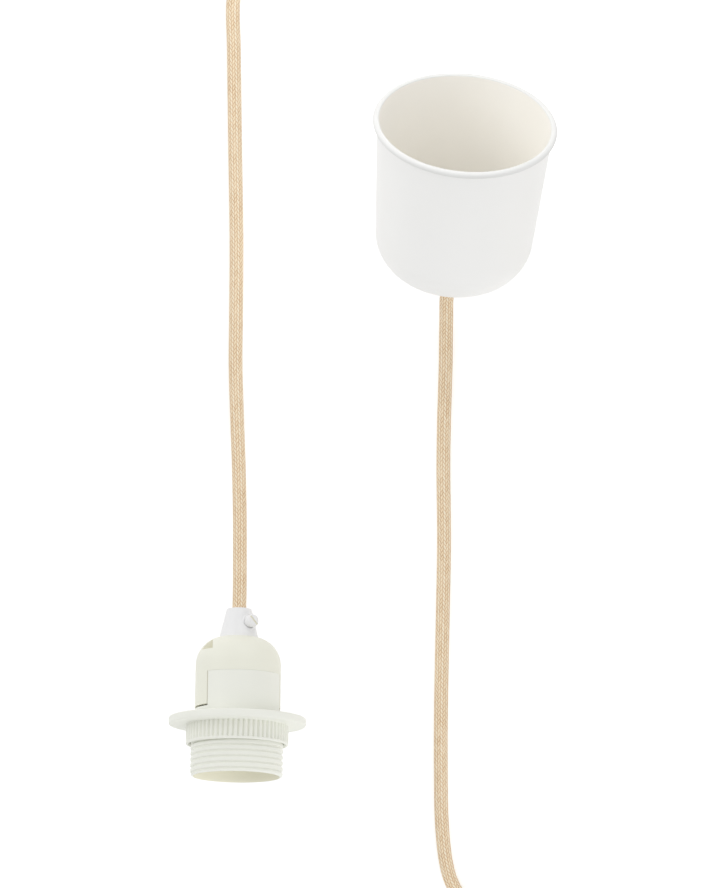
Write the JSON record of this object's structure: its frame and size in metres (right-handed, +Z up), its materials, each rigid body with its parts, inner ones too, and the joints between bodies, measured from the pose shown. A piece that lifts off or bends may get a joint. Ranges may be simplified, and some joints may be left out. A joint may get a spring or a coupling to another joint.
{
  "type": "pendant cord set",
  "caption": "Bare lamp holder with threaded skirt and shade ring, joined by one textile cord to a ceiling cup with a rolled rim, laid out flat with the spare cord in a tied hank.",
  "frame": {"origin": "on the table, under the centre of the box round the holder and the cup, without the cord", "axes": "+Z up from the table, +Y from the lamp holder towards the ceiling cup, +X from the holder's side to the cup's side"},
  "size_m": [0.2832, 0.4353, 0.0948],
  "materials": {
    "ivory_plastic": "moulded, satin",
    "white_plastic": "moulded, satin",
    "inner_plastic": "moulded, matte",
    "textile": "braided textile",
    "tie_textile": "woven band",
    "rubber": "matte",
    "brass": "plain",
    "steel": "zinc plated",
    "brown_insulation": "smooth",
    "blue_insulation": "smooth"
  },
  "bodies": {
    "set": {"threaded_skirt": "ivory_plastic", "holder_cap": "ivory_plastic", "cord_grip": "white_plastic", "cord_grip_screw": "white_plastic", "cord_end_in_holder": "textile", "contact_block": "inner_plastic", "centre_contact": "brass", "side_contact": "brass", "holder_terminal_screw_1": "steel", "holder_terminal_screw_2": "steel", "brown_wire_in_holder": "brown_insulation", "blue_wire_in_holder": "blue_insulation", "ceiling_cup": "white_plastic", "cord_bush": "rubber", "cord_end_in_cup": "textile", "hook_body": "inner_plastic", "clamp_bar": "inner_plastic", "clamp_screw_1": "steel", "clamp_screw_2": "steel", "terminal_block": "inner_plastic", "terminal_insert_brown": "brass", "terminal_insert_blue": "brass", "terminal_screw_1": "steel", "terminal_screw_2": "steel", "terminal_screw_3": "steel", "terminal_screw_4": "steel", "brown_wire_in_cup": "brown_insulation", "blue_wire_in_cup": "blue_insulation", "cord_cup_run": "textile", "cord_hank": "textile", "hank_tie": "tie_textile", "cord_holder_run": "textile"},
    "ring": {"shade_ring": "ivory_plastic"}
  },
  "joints": [
    {"name": "ring_travel", "type": "slide", "parent": "set", "child": "ring", "axis": [-0.0137, -0.9819, 0.1891], "range_m": [0, 0.02]}
  ]
}
